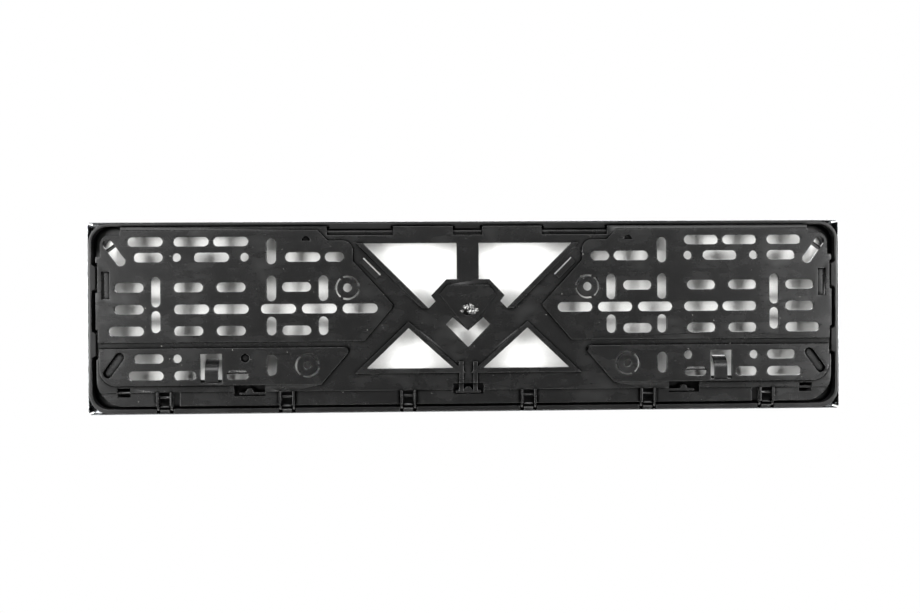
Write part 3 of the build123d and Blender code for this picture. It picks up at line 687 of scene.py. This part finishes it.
@dataclass
class DustFlecks:
    """Flecks of dust scattered over the side of the panel that faces the car."""

    per_square_metre: float = 900.0
    radius_mm: float = 0.22
    least: Place = (0.4, 0.4, 0.2)
    most: Place = (1.7, 1.1, 0.5)
    car_facing: float = -0.95
    seed: int = 7

    def tree(self, finish: bpy.types.Material) -> bpy.types.NodeTree:
        """Build the geometry nodes that scatter the flecks.

        Args:
            finish: Material of the flecks.

        Returns:
            A tree with inputs for the density, the radius and the seed.
        """
        tree = bpy.data.node_groups.new("scatter_flecks", "GeometryNodeTree")
        face = tree.interface
        face.new_socket("Geometry", in_out="INPUT", socket_type="NodeSocketGeometry")
        for name, kind in (("Density", "NodeSocketFloat"), ("Radius", "NodeSocketFloat"),
                           ("Seed", "NodeSocketInt")):
            face.new_socket(name, in_out="INPUT", socket_type=kind)
        face.new_socket("Geometry", in_out="OUTPUT", socket_type="NodeSocketGeometry")
        given = add_node(tree, "NodeGroupInput").outputs
        normal = add_node(tree, "GeometryNodeInputNormal").outputs[0]
        outward = add_node(tree, "ShaderNodeSeparateXYZ", {0: normal}).outputs["Y"]
        rear = add_node(tree, "FunctionNodeCompare", {"A": outward}, {"B": self.car_facing},
                        operation="LESS_THAN").outputs[0]
        points = add_node(tree, "GeometryNodeDistributePointsOnFaces",
                          {"Mesh": given["Geometry"], "Selection": rear,
                           "Density": given["Density"], "Seed": given["Seed"]})
        fleck = add_node(tree, "GeometryNodeMeshIcoSphere", {"Radius": given["Radius"]},
                         {"Subdivisions": 1})
        size = add_node(tree, "FunctionNodeRandomValue", {"Seed": given["Seed"]},
                        {"Min": self.least, "Max": self.most}, data_type="FLOAT_VECTOR").outputs[0]
        placed = add_node(tree, "GeometryNodeInstanceOnPoints",
                          {"Points": points.outputs["Points"], "Instance": fleck.outputs["Mesh"],
                           "Rotation": points.outputs["Rotation"], "Scale": size})
        real = add_node(tree, "GeometryNodeRealizeInstances", {"Geometry": placed.outputs[0]})
        painted = add_node(tree, "GeometryNodeSetMaterial", {"Geometry": real.outputs[0]},
                           {"Material": finish})
        add_node(tree, "NodeGroupOutput", {"Geometry": painted.outputs[0]})
        return tree

    def build(self, finish: bpy.types.Material) -> bpy.types.Object:
        """Scatter the flecks over a copy of the panel's CAD mesh, whose faces keep their order.

        Args:
            finish: Material of the flecks.

        Returns:
            The piece, riding on the base.
        """
        made = new_object("dust_flecks", frame["nodes"][Slot.BASE.value].data.copy())
        made.data.materials.clear()
        scatter = made.modifiers.new("scatter", "NODES")
        scatter.node_group = self.tree(finish)
        sockets = scatter.node_group.interface.items_tree
        named = {s.name: s.identifier for s in sockets if s.in_out == "INPUT"}
        scatter[named["Density"]] = self.per_square_metre
        scatter[named["Radius"]] = self.radius_mm * MM
        scatter[named["Seed"]] = self.seed
        bake_modifiers(made)
        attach(made, Body.BASE.value)
        LOG.info("%s: %d faces, %s", made.name, len(made.data.polygons), finish.name)
        return made


@dataclass
class Holder:
    """The whole holder: base panel, front frame, steel trim and what lies on them."""

    base: RoundedNode = field(default_factory=lambda: RoundedNode(
        "base_panel", "base_panel_moulding", Body.BASE, Slot.BASE, 0.4))
    front: RoundedNode = field(default_factory=lambda: RoundedNode(
        "front_frame", "front_frame_moulding", Body.FRONT, Slot.FRONT, 0.4))
    trim: RoundedNode = field(default_factory=lambda: RoundedNode(
        "steel_trim", "steel_trim_sheet", Body.FRONT, Slot.TRIM, 0.12))
    ledges: CornerLedges = field(default_factory=CornerLedges)
    sprue: TornSprue = field(default_factory=TornSprue)
    dust: DustFlecks = field(default_factory=DustFlecks)

    def build(self) -> None:
        """Build and dress every piece, in order."""
        panel_skin = MouldedPlastic().material()
        frame_skin = MouldedPlastic(name="black_moulded_frame", skin="#0c0c0c", haze_amount=0.2,
                                    roughness=0.28).material()
        self.base.dress(self.base.build(), panel_skin)
        self.ledges.dress(self.ledges.build(), panel_skin)
        self.front.dress(self.front.build(), frame_skin)
        self.trim.dress(self.trim.build(), PolishedSheet().material())
        self.sprue.dress(self.sprue.build(), TornPlastic().material())
        self.dust.build(DustFleck().material())


@dataclass
class Softbox:
    """One rectangular studio light, aimed at the middle of the holder."""

    name: str
    at: Place
    size: Pair
    watts: float

    def build(self) -> None:
        """Hang the light and turn it to the holder."""
        lamp = bpy.data.lights.new(self.name, "AREA")
        lamp.shape = "RECTANGLE"
        lamp.size, lamp.size_y = self.size
        lamp.energy = self.watts
        made = bpy.data.objects.new(self.name, lamp)
        made.location = self.at
        made.rotation_euler = (-Vector(self.at)).to_track_quat("-Z", "Y").to_euler()
        bpy.context.scene.collection.objects.link(made)


@dataclass
class Studio:
    """White paper, soft light and the camera of the photograph."""

    floor_z: float = -0.9
    floor_evened: float = 0.85
    reach: float = 3.0
    sheet_y: float = 0.0137
    sheet_inset: float = 0.001
    # Strength of the painted glow on the open parts of the sheet behind the panel.
    sheet_painted_glow: float = 0.6
    camera_mm: Place = (-27.8, -678.0, 9.33)
    yaw: float = 0.03259
    pitch: float = -0.00335
    roll: float = -0.00648
    focal_px: float = 961.93
    width_px: int = 920
    sensor_mm: float = 36.0
    clip: Pair = (0.01, 50.0)
    sky: float = 0.06
    lights: list[Softbox] = field(default_factory=lambda: [
        Softbox("key_left", (-1.12, -1.0, 0.12), (0.45, 0.8), 32.0),
        Softbox("key_right", (1.17, -0.96, 0.12), (0.45, 0.8), 28.0),
        Softbox("top", (0.0, -1.5, 0.85), (2.0, 0.5), 18.0),
        Softbox("top_strip", (0.0, -0.3, 1.1), (1.4, 0.25), 9.0),
        Softbox("front_above", (0.3, 1.5, 1.1), (1.6, 1.0), 40.0),
    ])

    def plane(self, name: str, corners: list[Place], finish: PaperWhite) -> bpy.types.Object:
        """Lay one sheet of studio paper.

        Args:
            name: Name of the sheet.
            corners: Its corners, anticlockwise as seen from its good side.
            finish: Its paper.

        Returns:
            The sheet.
        """
        mesh = bpy.data.meshes.new(name)
        mesh.from_pydata(corners, [], [tuple(range(len(corners)))])
        mesh.materials.append(finish.material())
        made = new_object(name, mesh)
        return made

    def papers(self) -> None:
        """Lay the floor, the sheet behind the panel and the backdrop behind the frame.

        The sheet catches the shadows that show through the slots. It and the backdrop follow the
        bodies that they stand behind, and let the light from the plate side through.
        """
        r, z, y = self.reach, self.floor_z, self.sheet_y
        self.plane("floor", [(-r, -r, z), (r, -r, z), (r, r, z), (-r, r, z)],
                   PaperWhite("pale_floor", evened=self.floor_evened))
        low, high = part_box(Slot.BASE.value)
        x, foot, head = (high[0] - self.sheet_inset, low[2] + self.sheet_inset,
                         high[2] - self.sheet_inset)
        sheet = self.plane("white_sheet",
                           [(-x, y, foot), (x, y, foot), (x, y, head), (-x, y, head)],
                           PaperWhite("white_sheet", "#dadad8", one_sided=True,
                                      painted_glow=self.sheet_painted_glow))
        y += self.sheet_inset
        backdrop = self.plane("backdrop", [(-r, y, z), (r, y, z), (r, y, r), (-r, y, r)],
                              PaperWhite("backdrop", "#ffffff", one_sided=True, evened=1.0))
        for paper, body in ((sheet, Body.BASE), (backdrop, Body.FRONT)):
            paper.parent = frame["bodies"][body.value]
            paper.visible_shadow = paper.visible_glossy = False

    def surround(self) -> None:
        """Make the room white to look at and dim as a light."""
        world = bpy.data.worlds.new("studio")
        world.use_nodes = True
        tree = world.node_tree
        tree.nodes.clear()
        seen = add_node(tree, "ShaderNodeLightPath").outputs["Is Camera Ray"]
        dim = add_node(tree, "ShaderNodeBackground", None,
                       {"Color": WHITE, "Strength": self.sky}).outputs[0]
        white = add_node(tree, "ShaderNodeBackground", None,
                         {"Color": WHITE, "Strength": 1.0}).outputs[0]
        both = add_node(tree, "ShaderNodeMixShader", {0: seen, 1: dim, 2: white}).outputs[0]
        add_node(tree, "ShaderNodeOutputWorld", {0: both})
        bpy.context.scene.world = world

    def camera(self) -> None:
        """Set the camera where the photograph was taken from."""
        level = math.cos(self.pitch)
        ahead = Vector((math.sin(self.yaw) * level, math.cos(self.yaw) * level,
                        math.sin(self.pitch)))
        right = Vector((math.cos(self.yaw), -math.sin(self.yaw), 0.0))
        above = right.cross(ahead)
        side = right * math.cos(self.roll) + above * math.sin(self.roll)
        top = above * math.cos(self.roll) - right * math.sin(self.roll)
        lens = bpy.data.cameras.new("photo_camera")
        lens.sensor_width = self.sensor_mm
        lens.lens = self.focal_px * self.sensor_mm / self.width_px
        lens.clip_start, lens.clip_end = self.clip
        made = bpy.data.objects.new("photo_camera", lens)
        turn = Matrix((side, top, -ahead)).transposed().to_4x4()
        made.matrix_world = Matrix.Translation(Vector(self.camera_mm) * MM) @ turn
        bpy.context.scene.collection.objects.link(made)
        bpy.context.scene.camera = made

    def build(self) -> None:
        """Lay the paper, hang the lights and set the camera."""
        self.papers()
        for light in self.lights:
            light.build()
        self.surround()
        self.camera()
        bpy.context.scene.view_settings.view_transform = "Standard"


def main() -> None:
    """Build the holder and the studio round it."""
    logging.basicConfig(level=logging.INFO, format="%(name)s %(message)s")
    Holder().build()
    Studio().build()


if __name__ == "__main__":
    main()
